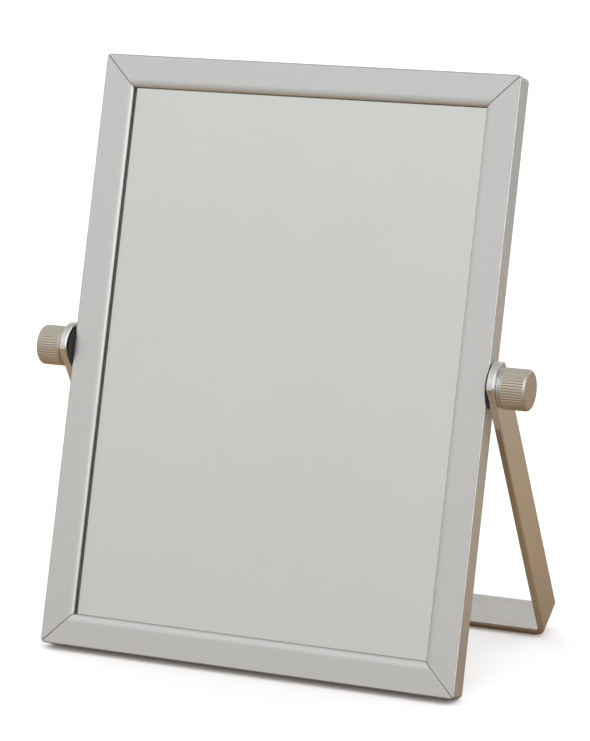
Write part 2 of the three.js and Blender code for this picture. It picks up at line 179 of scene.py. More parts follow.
def mesh_object(name, vertices, faces):
    mesh = bpy.data.meshes.new(name)
    mesh.from_pydata([tuple(v) for v in vertices], [], faces)
    mesh.validate()
    obj = bpy.data.objects.new(name, mesh)
    bpy.context.scene.collection.objects.link(obj)
    fix = bmesh.new()
    fix.from_mesh(mesh)
    bmesh.ops.recalc_face_normals(fix, faces=fix.faces)
    fix.to_mesh(mesh)
    fix.free()
    return obj


def prism(name, outline, low, high, axis):
    """A closed outline swept from low to high. axis turns (a, b, along) into x, y and z."""
    count = len(outline)
    vertices = [axis(a, b, end) for end in (low, high) for a, b in outline]
    faces = [[i, (i + 1) % count, count + (i + 1) % count, count + i] for i in range(count)]
    faces += [list(range(count)), list(range(count, 2 * count))]
    return mesh_object(name, vertices, faces)


def arc(centre, radius, start, end, steps):
    """Points on an arc, angles in degrees, both ends included."""
    angles = [math.radians(start + (end - start) * i / steps) for i in range(steps + 1)]
    return [(centre[0] + radius * math.cos(t), centre[1] + radius * math.sin(t)) for t in angles]


def sheet_solid(name, front, back):
    """A closed sheet between two grids of points, each a list of equally long rows."""
    rows, row = len(front), len(front[0])
    size = rows * row
    vertices = [point for grid in (front, back) for line in grid for point in line]
    faces = []
    for i in range(rows - 1):
        for j in range(row - 1):
            a = i * row + j
            faces.append([a, a + 1, a + row + 1, a + row])
            faces.append([size + a, size + a + row, size + a + row + 1, size + a + 1])
    rim = list(range(row))
    rim += [i * row + row - 1 for i in range(1, rows)]
    rim += [(rows - 1) * row + j for j in range(row - 2, -1, -1)]
    rim += [i * row for i in range(rows - 2, 0, -1)]
    for a, b in zip(rim, rim[1:] + rim[:1]):
        faces.append([a, b, size + b, size + a])
    return mesh_object(name, vertices, faces)


def lathe(name, profile, count, radius_at=None):
    """A closed turned piece about X. The profile is a list of (x, radius), which starts and ends on
    the axis or is a closed loop. radius_at(x, radius, angle) may change a radius as it goes round."""
    closed = profile[0][1] > 0
    vertices, rings = [], []
    for x, radius in profile:
        if radius == 0:
            rings.append([len(vertices)] * count)
            vertices.append((x, 0, 0))
            continue
        rings.append(list(range(len(vertices), len(vertices) + count)))
        for i in range(count):
            angle = 2 * math.pi * i / count
            r = radius_at(x, radius, angle) if radius_at else radius
            vertices.append((x, r * math.cos(angle), r * math.sin(angle)))
    faces = []
    pairs = list(zip(rings, rings[1:] + rings[:1])) if closed else list(zip(rings, rings[1:]))
    for near, painted_sheen_share in pairs:
        for i in range(count):
            j = (i + 1) % count
            corners = [near[i], near[j], painted_sheen_share[j], painted_sheen_share[i]]
            face = list(dict.fromkeys(corners))
            if len(face) > 2:
                faces.append(face)
    return mesh_object(name, vertices, faces)


def subtract(obj, cutters):
    """Cuts closed meshes out of a closed mesh, and removes them."""
    for cutter in cutters:
        modifier = obj.modifiers.new("cut", "BOOLEAN")
        modifier.operation = "DIFFERENCE"
        modifier.solver = "MANIFOLD"
        modifier.object = cutter
    settle(obj)
    for cutter in cutters:
        bpy.data.objects.remove(cutter)


def settle(obj):
    """Applies the object's modifiers to its mesh."""
    graph = bpy.context.evaluated_depsgraph_get()
    mesh = bpy.data.meshes.new_from_object(obj.evaluated_get(graph), depsgraph=graph)
    obj.modifiers.clear()
    obj.data = mesh


def bevel_edges(obj, width, segments, limit, angle=40, clamp=True):
    """Rounds edges. The limit is ANGLE, for those sharper than angle in degrees, or WEIGHT."""
    bevel = obj.modifiers.new("round", "BEVEL")
    bevel.width = width
    bevel.segments = segments
    bevel.limit_method = limit
    bevel.angle_limit = math.radians(angle)
    bevel.use_clamp_overlap = clamp
    settle(obj)


def shade_rounded(obj):
    """Shades a piece smooth between its sharp edges, with its flat faces kept flat."""
    smooth(obj, 35)
    weighted = obj.modifiers.new("normals", "WEIGHTED_NORMAL")
    weighted.keep_sharp = True
    settle(obj)


def round_edges(obj, width, segments, angle=40):
    bevel_edges(obj, width, segments, "ANGLE", angle)
    shade_rounded(obj)


def smooth(obj, angle):
    """Shades a piece smooth, except across edges sharper than angle in degrees."""
    obj.data.shade_smooth()
    obj.data.set_sharp_from_angle(angle=math.radians(angle))


def grain(obj, along):
    """Stores where each vertex is along the grain and across it, for the materials to read."""
    mesh = obj.data
    values = mesh.attributes.get("grain") or mesh.attributes.new("grain", "FLOAT_VECTOR", "POINT")
    for vertex in mesh.vertices:
        values.data[vertex.index].vector = along(vertex.co)


def along_x(co):
    return (co.x, co.y, co.z)


def along_z(co):
    return (co.z, co.y, co.x)


def turned_x(co):
    """Grain that runs round the X axis, as on a turned piece."""
    radius = math.hypot(co.y, co.z)
    return (math.atan2(co.z, co.y) * KNOB_RADIUS, radius, co.x)


def finish_piece(obj, body, place, material, slot, *nodes):
    obj.data.materials.clear()
    obj.data.materials.append(material)
    obj.data.transform(place)
    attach(obj, body)
    if nodes:
        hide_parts(*nodes)
    return obj


# ---------------------------------------------------------------- material helpers

class Nodes:
    """A new node material, with short calls that add a node and link its inputs."""

    def __init__(self, name):
        self.material = bpy.data.materials.new(name)
        self.material.use_nodes = True
        self.tree = self.material.node_tree
        self.tree.nodes.clear()
        self.shader = self.add("ShaderNodeBsdfPrincipled")
        output = self.add("ShaderNodeOutputMaterial")
        self.tree.links.new(self.shader.outputs[0], output.inputs["Surface"])

    def add(self, kind, **settings):
        node = self.tree.nodes.new(kind)
        for key, value in settings.items():
            setattr(node, key, value)
        return node

    def put(self, node, socket, value):
        """Links an output to a socket, or sets the socket to a plain value."""
        target = node.inputs[socket]
        if isinstance(value, bpy.types.NodeSocket):
            self.tree.links.new(value, target)
        else:
            target.default_value = value

    def set(self, **values):
        for socket, value in values.items():
            self.put(self.shader, socket.replace("_", " "), value)

    def grain(self, scale):
        """The stored grain coordinates, stretched by scale."""
        stored = self.add("ShaderNodeAttribute", attribute_name="grain")
        mapping = self.add("ShaderNodeMapping")
        self.put(mapping, "Vector", stored.outputs["Vector"])
        self.put(mapping, "Scale", scale)
        return mapping.outputs[0]

    def noise(self, vector, scale, detail=4.0, roughness=0.55):
        node = self.add("ShaderNodeTexNoise")
        self.put(node, "Vector", vector)
        self.put(node, "Scale", scale)
        self.put(node, "Detail", detail)
        self.put(node, "Roughness", roughness)
        return node.outputs["Fac"]

    def stored(self, axis):
        """One of the stored grain coordinates, in metres: 0 along the grain, 1 and 2 across it."""
        attribute = self.add("ShaderNodeAttribute", attribute_name="grain")
        split = self.add("ShaderNodeSeparateXYZ")
        self.put(split, 0, attribute.outputs["Vector"])
        return split.outputs[axis]

    def remap(self, value, low, high, from_low=0.3, from_high=0.7):
        """Stretches a value to low..high. A noise lies mostly between 0.3 and 0.7."""
        node = self.add("ShaderNodeMapRange")
        self.put(node, "Value", value)
        self.put(node, "From Min", from_low)
        self.put(node, "From Max", from_high)
        self.put(node, "To Min", low)
        self.put(node, "To Max", high)
        return node.outputs["Result"]

    def mix(self, share, first, second):
        node = self.add("ShaderNodeMix", data_type="RGBA")
        self.put(node, "Factor", share)
        self.put(node, 6, first)
        self.put(node, 7, second)
        return node.outputs[2]

    def math(self, operation, first, second=0.5):
        node = self.add("ShaderNodeMath", operation=operation)
        self.put(node, 0, first)
        self.put(node, 1, second)
        return node.outputs[0]

    def bump(self, height, strength, distance):
        node = self.add("ShaderNodeBump")
        self.put(node, "Height", height)
        self.put(node, "Strength", strength)
        self.put(node, "Distance", distance)
        return node.outputs[0]


def shade(rgb, factor=1.0):
    """An opaque colour, made lighter or darker by factor."""
    return (rgb[0] * factor, rgb[1] * factor, rgb[2] * factor, 1.0)


# ---------------------------------------------------------------- materials

def anodised_aluminium():
    """Satin anodised extrusion: fine die lines along the rail, a faint cloudiness and handling marks
    along the frame's outer edge. The lip's back is pale and not metallic. That is no real finish: it
    lightens the gap between the lip and its reflection, which comes out too dark."""
    n = Nodes("anodised_aluminium")
    lines = n.noise(n.grain((6, 900, 900)), 1.0, 6.0, 0.6)
    cloud = n.noise(n.grain((14, 30, 30)), 1.0, 3.0)
    marks = n.noise(n.grain((150, 420, 420)), 1.0, 5.0)
    near_edge = n.remap(n.stored(2), 1.0, 0.0, 0.4 * MM, 2.2 * MM)
    worn = n.math("MULTIPLY", near_edge, n.remap(marks, 0.0, 1.0, 0.5, 0.62))
    colour = (0.75, 0.75, 0.745)
    base = n.mix(n.remap(lines, 0.0, 1.0), shade(colour, 0.98), shade(colour, 1.01))
    base = n.mix(n.remap(cloud, 0.0, 0.35), base, shade(colour, 0.96))
    base = n.mix(n.math("MULTIPLY", worn, 0.5), base, shade(colour, 1.08))
    from_lip_back = n.math("ABSOLUTE", n.math("SUBTRACT", n.stored(1), LIP_THICKNESS))
    past_tube = n.remap(n.stored(2), 0.0, 1.0, TUBE_WIDTH, TUBE_WIDTH + 0.5 * MM)
    lip_back = n.math("MULTIPLY", past_tube, n.remap(from_lip_back, 1.0, 0.0, 0.05 * MM, 0.2 * MM))
    base = n.mix(lip_back, base, shade((0.88, 0.88, 0.86)))
    n.set(Base_Color=base, Metallic=n.remap(lip_back, 0.94, 0.0, 0.0, 1.0))
    roughness = n.math("SUBTRACT", n.remap(lines, 0.34, 0.41), n.math("MULTIPLY", worn, 0.08))
    n.set(Roughness=roughness)
    n.set(Normal=n.bump(lines, 0.07, 0.02 * MM))
    return n.material


def brushed_steel():
    """Flat bar brushed along its length, with rubbed edges and a little handling stain."""
    n = Nodes("brushed_steel_bar")
    streaks = n.noise(n.grain((9, 1500, 1500)), 1.0, 8.0, 0.7)
    wide = n.noise(n.grain((25, 220, 220)), 1.0, 3.0)
    stain = n.noise(n.grain((70, 120, 120)), 1.0, 4.0)
    from_middle = n.math("ABSOLUTE", n.stored(1))
    near_edge = n.remap(from_middle, 0.0, 1.0, HALF_BAR - 1.2 * MM, HALF_BAR - 0.3 * MM)
    rubbed = n.math("MULTIPLY", near_edge, n.remap(wide, 0.0, 1.0, 0.42, 0.6))
    colour = (0.88, 0.865, 0.84)
    base = n.mix(n.remap(streaks, 0.0, 1.0), shade(colour, 0.93), shade(colour, 1.05))
    base = n.mix(n.remap(stain, 0.0, 0.5, 0.45, 0.75), base, shade((0.80, 0.75, 0.70)))
    base = n.mix(n.math("MULTIPLY", rubbed, 0.4), base, shade(colour, 1.08))
    n.set(Base_Color=base, Metallic=1.0)
    roughness = n.math("ADD", n.remap(streaks, 0.15, 0.22), n.remap(wide, -0.02, 0.02))
    n.set(Roughness=n.math("SUBTRACT", roughness, n.math("MULTIPLY", rubbed, 0.04)))
    n.set(Normal=n.bump(streaks, 0.07, 0.03 * MM))
    return n.material


def satin_nickel():
    """Warm nickel plate over turned and knurled brass, darker and rougher down in the knurl's grooves."""
    n = Nodes("satin_nickel")
    rings = n.noise(n.grain((15, 2500, 2500)), 1.0, 5.0, 0.6)
    wear = n.noise(n.grain((160, 160, 160)), 1.0, 4.0)
    groove_floor = KNOB_RADIUS - KNURL_DEPTH
    in_groove = n.remap(n.stored(1), 1.0, 0.0, groove_floor, KNOB_RADIUS - 0.08 * MM)
    on_wall = n.remap(n.stored(1), 0.0, 1.0, groove_floor - 0.3 * MM, groove_floor)
    groove_darkening = n.math("MULTIPLY", in_groove, on_wall)
    colour = (0.69, 0.64, 0.555)
    base = n.mix(n.remap(rings, 0.0, 1.0), shade(colour, 0.95), shade(colour, 1.04))
    base = n.mix(n.remap(wear, 0.0, 0.3), base, shade((0.62, 0.56, 0.47)))
    # Darker and rougher down in the knurl's grooves, set by groove depth alone.
    base = n.mix(n.math("MULTIPLY", groove_darkening, 0.22), base, shade((0.34, 0.28, 0.21)))
    n.set(Base_Color=base, Metallic=1.0)
    n.set(Roughness=n.math("ADD", n.remap(wear, 0.25, 0.34), n.math("MULTIPLY", groove_darkening, 0.12)))
    n.set(Normal=n.bump(rings, 0.08, 0.02 * MM))
    return n.material


def zinc_plate(name, tone):
    """Bright zinc plate with its faint bluish clouding."""
    n = Nodes(name)
    cloud = n.noise(n.grain((300, 300, 300)), 1.0, 4.0)
    fine = n.noise(n.grain((2200, 2200, 2200)), 1.0, 3.0)
    base = n.mix(n.remap(cloud, 0.0, 1.0), shade(tone, 0.9), shade(tone, 1.08))
    n.set(Base_Color=base, Metallic=1.0)
    n.set(Roughness=n.math("ADD", n.remap(cloud, 0.22, 0.34), n.remap(fine, -0.02, 0.02)))
    n.set(Normal=n.bump(fine, 0.08, 0.02 * MM))
    return n.material


def zinc_casting():
    """Dull die-cast zinc with a grainy skin."""
    n = Nodes("zinc_die_casting")
    coordinates = n.add("ShaderNodeTexCoord").outputs["Object"]
    skin = n.noise(coordinates, 1800.0, 5.0)
    cloud = n.noise(coordinates, 120.0, 3.0)
    base = n.mix(n.remap(cloud, 0.0, 1.0), shade((0.26, 0.27, 0.28)), shade((0.36, 0.37, 0.38)))
    n.set(Base_Color=base, Metallic=0.9)
    n.set(Roughness=n.remap(skin, 0.42, 0.6))
    n.set(Normal=n.bump(skin, 0.3, 0.05 * MM))
    return n.material


def black_rubber():
    """Matt rubber with fine pores and a little dust."""
    n = Nodes("black_rubber")
    pores = n.noise(n.grain((2600, 2600, 2600)), 1.0, 5.0)
    dust = n.noise(n.grain((240, 240, 240)), 1.0, 3.0)
    base = n.mix(n.remap(dust, 0.0, 0.5), shade((0.010, 0.010, 0.011)), shade((0.03, 0.03, 0.032)))
    n.set(Base_Color=base)
    n.set(Roughness=n.remap(pores, 0.6, 0.8))
    n.set(Normal=n.bump(pores, 0.3, 0.04 * MM))
    return n.material


def clear_glass():
    """Float glass, faintly green, with the barely uneven polish of a wiped surface."""
    n = Nodes("clear_glass")
    wipe = n.noise(n.grain((22, 60, 60)), 1.0, 4.0)
    tint = n.mix(n.remap(wipe, 0.0, 1.0), shade((0.978, 0.985, 0.975)), shade((0.982, 0.989, 0.98)))
    n.set(Base_Color=tint)
    n.set(Roughness=n.remap(wipe, 0.0, 0.012))
    n.set(IOR=1.52, Transmission_Weight=1.0)
    return n.material


def silvering():
    """The mirror coat on the glass's back, a little warm and green as seen through the glass."""
    n = Nodes("silvering")
    haze = n.noise(n.grain((9, 9, 9)), 1.0, 3.0)
    base = n.mix(n.remap(haze, 0.0, 1.0), shade((0.905, 0.908, 0.875)), shade((0.92, 0.923, 0.89)))
    n.set(Base_Color=base, Metallic=1.0)
    n.set(Roughness=n.remap(haze, 0.0, 0.015))
    return n.material


def hardboard():
    """Brown hardboard with loose fibres and the mesh print of its rough side."""
    n = Nodes("hardboard")
    fibres = n.noise(n.grain((420, 900, 900)), 1.0, 7.0, 0.7)
    blotch = n.noise(n.grain((28, 28, 28)), 1.0, 4.0)
    pitch = 2 * math.pi / (1.6 * MM)
    waves = [n.math("SINE", n.math("MULTIPLY", n.stored(i), pitch)) for i in (0, 2)]
    mesh = n.math("MULTIPLY", *waves)
    base = n.mix(n.remap(fibres, 0.0, 1.0), shade((0.13, 0.075, 0.042)), shade((0.24, 0.15, 0.09)))
    base = n.mix(n.remap(blotch, 0.0, 0.35), base, shade((0.11, 0.062, 0.036)))
    n.set(Base_Color=base)
    n.set(Roughness=n.remap(fibres, 0.7, 0.9))
    height = n.math("ADD", n.math("MULTIPLY", mesh, 0.5), fibres)
    n.set(Normal=n.bump(height, 0.35, 0.15 * MM))
    return n.material


def spring_steel():
    """Oiled blue-grey strip."""
    n = Nodes("spring_steel")
    streaks = n.noise(n.grain((12, 700, 700)), 1.0, 5.0)
    heat = n.noise(n.grain((50, 50, 50)), 1.0, 3.0)
    base = n.mix(n.remap(heat, 0.0, 1.0), shade((0.13, 0.15, 0.18)), shade((0.24, 0.24, 0.24)))
    n.set(Base_Color=base, Metallic=1.0)
    n.set(Roughness=n.remap(streaks, 0.26, 0.38))
    n.set(Normal=n.bump(streaks, 0.1, 0.02 * MM))
    return n.material


def pale_floor():
    """White to the camera. Metal sees a brown counter instead, darker near the mirror as painted shade and paler
    and greyer further off as a painted sheen.
    """
    n = Nodes("pale_floor")
    coordinates = n.add("ShaderNodeTexCoord").outputs["Object"]
    tone = n.noise(coordinates, 3.0, 3.0)
    paper = n.mix(n.remap(tone, 0.0, 1.0), shade((0.93, 0.93, 0.93)), shade((0.95, 0.95, 0.95)))
    distance = n.add("ShaderNodeVectorMath", operation="LENGTH")
    n.put(distance, 0, coordinates)
    away = n.remap(distance.outputs["Value"], 0.0, 1.0, 0.1, 0.32)
    painted_sheen_share = n.remap(distance.outputs["Value"], 0.0, 1.0, 0.3, 1.6)
    # Painted shade: the counter's brown is darkest within 10 cm of the mirror's foot and fades out by 32 cm.
    near_painted_shade_colour = n.mix(away, shade((0.232, 0.157, 0.09)), shade((0.28, 0.195, 0.115)))
    # Painted sheen: from 30 cm out to 1.6 m the counter turns pale grey, as a varnished top reflecting the room
    # would.
    counter = n.mix(painted_sheen_share, near_painted_shade_colour, shade((0.30, 0.29, 0.265)))
    reflected = n.add("ShaderNodeLightPath").outputs["Is Glossy Ray"]
    n.set(Base_Color=n.mix(reflected, paper, counter))
    n.set(Roughness=0.9)
    return n.material


ALUMINIUM = anodised_aluminium()
STEEL_BAR = brushed_steel()
NICKEL = satin_nickel()
ZINC_SCREW = zinc_plate("zinc_plated_screw", (0.52, 0.54, 0.58))
ZINC_WASHER = zinc_plate("zinc_plated_washer", (0.70, 0.74, 0.80))
ZINC_STUD = zinc_plate("zinc_plated_stud", (0.52, 0.53, 0.55))
ZINC_BLOCK = zinc_plate("zinc_plated_block", (0.48, 0.49, 0.52))
ZINC_CASTING = zinc_casting()
RUBBER = black_rubber()
GLASS = clear_glass()
SILVER = silvering()
BOARD = hardboard()
SPRING = spring_steel()


# ---------------------------------------------------------------- frame rails

def round_corners(outline, reach, steps=3):
    """Rounds the sharp corners of a closed outline, from as far as reach to either side of each."""
    rounded = []
    for i, point in enumerate(outline):
        corner = Vector(point)
        before = Vector(outline[i - 1]) - corner
        after = Vector(outline[(i + 1) % len(outline)]) - corner
        if before.angle(after) > math.radians(140):
            rounded.append(point)
            continue
        start = before.normalized() * min(reach, before.length / 3)
        end = after.normalized() * min(reach, after.length / 3)
        for step in range(steps + 1):
            share = step / steps
            rounded.append(tuple(corner + start * (1 - share) ** 2 + end * share ** 2))
    return rounded


def rail_outlines():
    """The rail's outer and inner section, as (distance in from the frame's outer edge, depth from
    its front)."""
    depth = 2 * HALF_DEPTH
    outer = arc((FACE_EDGE_RADIUS, FACE_EDGE_RADIUS), FACE_EDGE_RADIUS, 180, 270, 8)
    for right, down in arc((0, 0), 1, 270, 360, 12):
        inward = FACE_WIDTH - LIP_ROUND_WIDTH * (1 - right)
        outer.append((inward, LIP_ROUND_DEPTH * (1 + down)))
    outer += [
        (FACE_WIDTH, LIP_THICKNESS),
        (TUBE_WIDTH, LIP_THICKNESS),
        (TUBE_WIDTH, depth - WALL),
        (TUBE_WIDTH + REAR_FLANGE, depth - WALL),
        (TUBE_WIDTH + REAR_FLANGE, depth),
        (0, depth),
    ]
    inner = [
        (WALL, LIP_THICKNESS),
        (WALL, depth - WALL),
        (TUBE_WIDTH - WALL, depth - WALL),
        (TUBE_WIDTH - WALL, LIP_THICKNESS),
    ]
    return round_corners(outer, RAIL_EDGE_ROUND), inner


def mitred_rail(name, half_length, half_span):
    """A bottom rail with mitred ends, in which its hollow shows."""
    outer, inner = rail_outlines()
    ring = outer + inner
    count = len(ring)
    full = half_length - MITRE_GAP / 2 * math.sqrt(2)
    vertices = []
    for end in (-1, 1):
        for inward, depth in ring:
            vertices.append((end * (full - inward), depth - HALF_DEPTH, inward - half_span))
    faces = []
    for first, size in ((0, len(outer)), (len(outer), len(inner))):
        for i in range(size):
            a, b = first + i, first + (i + 1) % size
            faces.append([a, b, count + b, count + a])
    cap = tessellate_polygon([[Vector((*p, 0)) for p in outer], [Vector((*p, 0)) for p in inner]])
    for triangle in cap:
        faces.append(list(triangle))
        faces.append([count + i for i in triangle])
    return mesh_object(name, vertices, faces)


def corner_cutter(side, half_length, half_span):
    """What is cut away to round one outer corner, from the front right through to the back."""
    margin = 1 * MM
    r = CORNER_RADIUS
    curve = arc((r, r), r, 270, 180, 8)
    waste = [(-margin, -margin), (r, -margin)] + curve + [(-margin, r)]
    outline = [(side * (half_length - a), b - half_span) for a, b in waste]
    reach = HALF_DEPTH + margin
    return prism("cutter", outline, -reach, reach, lambda a, b, y: (a, y, b))


def round_cutter(radius, centre, axis, length):
    """A rod to cut a hole with, along the axis named."""
    turns = [2 * math.pi * i / ROUND_STEPS for i in range(ROUND_STEPS)]
    outline = [(radius * math.cos(t), radius * math.sin(t)) for t in turns]
    places = {
        "X": lambda a, b, c: (centre[0] + c, centre[1] + a, centre[2] + b),
        "Y": lambda a, b, c: (centre[0] + a, centre[1] + c, centre[2] + b),
        "Z": lambda a, b, c: (centre[0] + a, centre[1] + b, centre[2] + c),
    }
    return prism("cutter", outline, -length / 2, length / 2, places[axis])


def round_mitres(obj, half_length, half_span):
    """Rounds the front edges of a rail's mitred ends, ever less down the lip's own rounding."""
    full = half_length - MITRE_GAP / 2 * math.sqrt(2)
    work = bmesh.new()
    work.from_mesh(obj.data)
    weights = work.edges.layers.float.new("bevel_weight_edge")
    for edge in work.edges:
        ends = [vertex.co for vertex in edge.verts]
        on_mitre = all(abs(abs(co.x) + co.z + half_span - full) < 0.01 * MM for co in ends)
        depth = max(co.y for co in ends) + HALF_DEPTH
        if on_mitre and depth < LIP_ROUND_DEPTH and edge.calc_face_angle(0) > 0.5:
            edge[weights] = 1 - 0.9 * depth / LIP_ROUND_DEPTH
    work.to_mesh(obj.data)
    work.free()
    bevel_edges(obj, MITRE_EDGE_ROUND, 3, "WEIGHT", clamp=False)


def rail(name, quarter, half_length, half_span, pivot_hole):
    """A whole rail, made as the bottom one and then turned by quarters of a turn to its side."""
    obj = mitred_rail(name, half_length, half_span)
    cutters = [corner_cutter(side, half_length, half_span) for side in (-1, 1)]
    for side in (-1, 1):
        centre = (side * (half_length - KEY_SCREW_OFFSET), HALF_DEPTH, TUBE_WIDTH / 2 - half_span)
        cutters.append(round_cutter(SCREW_HOLE_RADIUS, centre, "Y", 4 * WALL))
    if pivot_hole:
        cutters.append(round_cutter(STUD_HOLE_RADIUS, (0, 0, -half_span), "Z", 3 * WALL))
    subtract(obj, cutters)
    round_mitres(obj, half_length, half_span)
    shade_rounded(obj)
    grain(obj, lambda co: (co.x, co.y + HALF_DEPTH, co.z + half_span))
    place = FRAME_PLACE @ Matrix.Rotation(quarter * math.pi / 2, 4, "Y")
    node = name.replace("_visual", "")
    return finish_piece(obj, "frame", place, ALUMINIUM, "anodised_aluminium", node)


def make_rails():
    rail("bottom_rail_visual", 0, HALF_WIDTH, HALF_HEIGHT, False)
    rail("left_rail_visual", 1, HALF_HEIGHT, HALF_WIDTH, True)
    rail("top_rail_visual", 2, HALF_WIDTH, HALF_HEIGHT, False)
    rail("right_rail_visual", 3, HALF_HEIGHT, HALF_WIDTH, True)


# ---------------------------------------------------------------- glass pack

def slab(name, low, high):
    """A plain block between two corners."""
    outline = [(low.x, low.z), (high.x, low.z), (high.x, high.z), (low.x, high.z)]
    return prism(name, outline, low.y, high.y, lambda a, b, y: (a, y, b))


def make_glass_pack():
    low, high = local_box("mirror_glass", FRAME_PLACE)
    thickness = high.y - low.y
    low.y = LIP_THICKNESS - HALF_DEPTH + CONTACT_GAP
    high.y = low.y + thickness
    glass = slab("mirror_glass_visual", low, high)
    round_edges(glass, GLASS_EDGE_ROUND, 2)
    grain(glass, along_z)
    finish_piece(glass, "frame", FRAME_PLACE, GLASS, "clear_glass", "mirror_glass")

    back = high.y + SILVER_GAP
    low, high = local_box("mirror_silvering", FRAME_PLACE)
    low.y = back
    high.y = back + SILVER_THICKNESS
    coat = slab("mirror_silvering_visual", low, high)
    round_edges(coat, SILVER_EDGE_ROUND, 1)
    grain(coat, along_z)
    finish_piece(coat, "frame", FRAME_PLACE, SILVER, "silvering", "mirror_silvering")

    low, high = local_box("backing_board", FRAME_PLACE)
    board = slab("backing_board_visual", low, high)
    round_edges(board, BOARD_EDGE_ROUND, 2)
    grain(board, along_x)
    finish_piece(board, "frame", FRAME_PLACE, BOARD, "hardboard", "backing_board")


def leaf_spring(node):
    """A bowed strip with rounded ends. Its middle presses on the board, its ends on the flange."""
    low, high = local_box(node, FRAME_PLACE)
    lengthwise, crosswise = ("x", "z") if high.x - low.x > high.z - low.z else ("z", "x")
    half = (getattr(high, lengthwise) - getattr(low, lengthwise)) / 2
    half_width = (getattr(high, crosswise) - getattr(low, crosswise)) / 2
    bow = high.y - low.y - SPRING_THICKNESS
    steps, columns = 28, 6
    layers = []
    for back in (0, SPRING_THICKNESS):
        grid = []
        for i in range(steps + 1):
            share = -1 + 2 * i / steps
            depth = low.y - CAD_CLEARANCE + CONTACT_GAP + bow * share ** 2 + back
            line = []
            for j in range(columns + 1):
                aside = -1 + 2 * j / columns
                shorter = SPRING_END_ROUND * (1 - math.sqrt(1 - aside ** 4))
                line.append((share * (half - shorter), depth, aside * half_width))
            grid.append(line)
        layers.append(grid)
    obj = sheet_solid(node + "_visual", *layers)
    round_edges(obj, SPRING_EDGE_ROUND, 2, 50)
    grain(obj, along_x)
    centre = Matrix.Translation(((low.x + high.x) / 2, 0, (low.z + high.z) / 2))
    turn = Matrix.Identity(4) if lengthwise == "x" else Matrix.Rotation(math.pi / 2, 4, "Y")
    return finish_piece(obj, "frame", FRAME_PLACE @ centre @ turn, SPRING, "spring_steel", node)


# ---------------------------------------------------------------- corner screws

def screw_mesh():
    """A pan-head screw along X with a cross recess, its head's underside at x = 0."""
    shank = SCREW_SHANK_RADIUS
    profile = [
        (-SCREW_LENGTH, 0),
        (-SCREW_LENGTH, shank * 0.6),
        (-SCREW_LENGTH + 0.6 * MM, shank),
        (0, shank),
        (0, SCREW_HEAD_RADIUS - 0.1 * MM),
        (0.12 * MM, SCREW_HEAD_RADIUS),
    ]
    for degrees in (15, 30, 45, 60, 75):
        t = math.radians(degrees)
        profile.append((SCREW_HEAD_HEIGHT * math.sin(t), SCREW_HEAD_RADIUS * math.cos(t) ** 0.6))
    profile.append((SCREW_HEAD_HEIGHT, 0))
    screw = lathe("corner_screw", profile, 48)
    low, high = SCREW_HEAD_HEIGHT - RECESS_DEPTH, SCREW_HEAD_HEIGHT + RECESS_DEPTH
    cutters = []
    for wide, tall in (
        (RECESS_HALF_LENGTH, RECESS_HALF_WIDTH),
        (RECESS_HALF_WIDTH, RECESS_HALF_LENGTH),
    ):
        outline = [(-wide, -tall), (wide, -tall), (wide, tall), (-wide, tall)]
        cutters.append(prism("cutter", outline, low, high, lambda a, b, x: (x, a, b)))
    subtract(screw, cutters)
    round_edges(screw, SCREW_EDGE_ROUND, 2, 50)
    grain(screw, along_x)
    return screw


def make_corner_screws():
    """Eight copies of one screw, each with its recess turned differently."""
    pattern = screw_mesh()
    for corner in CORNERS:
        for index in (1, 2):
            node = f"corner_screw_{corner}_{index}"
            low, high = local_box(node, FRAME_PLACE)
            centre = (low + high) / 2
            obj = bpy.data.objects.new(node + "_visual", pattern.data.copy())
            bpy.context.scene.collection.objects.link(obj)
            spin = Matrix.Rotation(math.radians(17 + 41 * index + 23 * len(corner)), 4, "X")
            spot = Matrix.Translation((centre.x, HALF_DEPTH + CONTACT_GAP, centre.z))
            turn = Matrix.Rotation(math.pi / 2, 4, "Z")
            place = FRAME_PLACE @ spot @ turn @ spin
            finish_piece(obj, "frame", place, ZINC_SCREW, "zinc_plated_screw", node)
    bpy.data.objects.remove(pattern)


# ---------------------------------------------------------------- pivot pieces

def side_place(side, x):
    """The pivot axis at distance x from the middle, pointing outward."""
    turn = Matrix.Identity(4) if side == "right" else Matrix.Rotation(math.pi, 4, "Y")
    return FRAME_PLACE @ turn @ Matrix.Translation((x, 0, 0))


def ring_profile(hole, radius, thickness, edge):
    """A flat ring whose four edges are rounded."""
    corners = [
        (0, radius, 1, -1),
        (thickness, radius, -1, -1),
        (thickness, hole, -1, 1),
        (0, hole, 1, 1),
    ]
    starts = [90, 0, 270, 180]
    profile = []
    for (x, r, dx, dr), start in zip(corners, starts):
        centre_x, centre_r = x + dx * edge, r + dr * edge
        for step in range(4):
            t = math.radians(start + 90 - 30 * step)
            profile.append((centre_x + edge * math.cos(t), centre_r + edge * math.sin(t)))
    return profile


def washer(name, hole, thickness, edge):
    """A washer as large as the CAD's, with rounded edges."""
    radius = local_box(name, FRAME_PLACE)[1].y
    obj = lathe(f"{name}_visual", ring_profile(hole, radius, thickness, edge), 96)
    smooth(obj, 50)
    grain(obj, turned_x)
    return obj


def make_washers(side):
    """The rubber washer between frame and leg, and the flat one between leg and knob."""
    node = f"rubber_washer_{side}"
    thickness = LEG_INNER_X - HALF_WIDTH - 2 * CONTACT_GAP
    obj = washer(node, STUD_HOLE_RADIUS, thickness, RUBBER_WASHER_EDGE_ROUND)
    place = side_place(side, HALF_WIDTH + CONTACT_GAP)
    finish_piece(obj, "frame", place, RUBBER, "black_rubber", node)

    node = f"flat_washer_{side}"
    thickness = KNOB_X - LEG_OUTER_X - 2 * CONTACT_GAP
    obj = washer(node, FLAT_WASHER_HOLE, thickness, FLAT_WASHER_EDGE_ROUND)
    place = side_place(side, LEG_OUTER_X + CONTACT_GAP)
    finish_piece(obj, f"{side}_stud", place, ZINC_WASHER, "zinc_plated_washer", node)


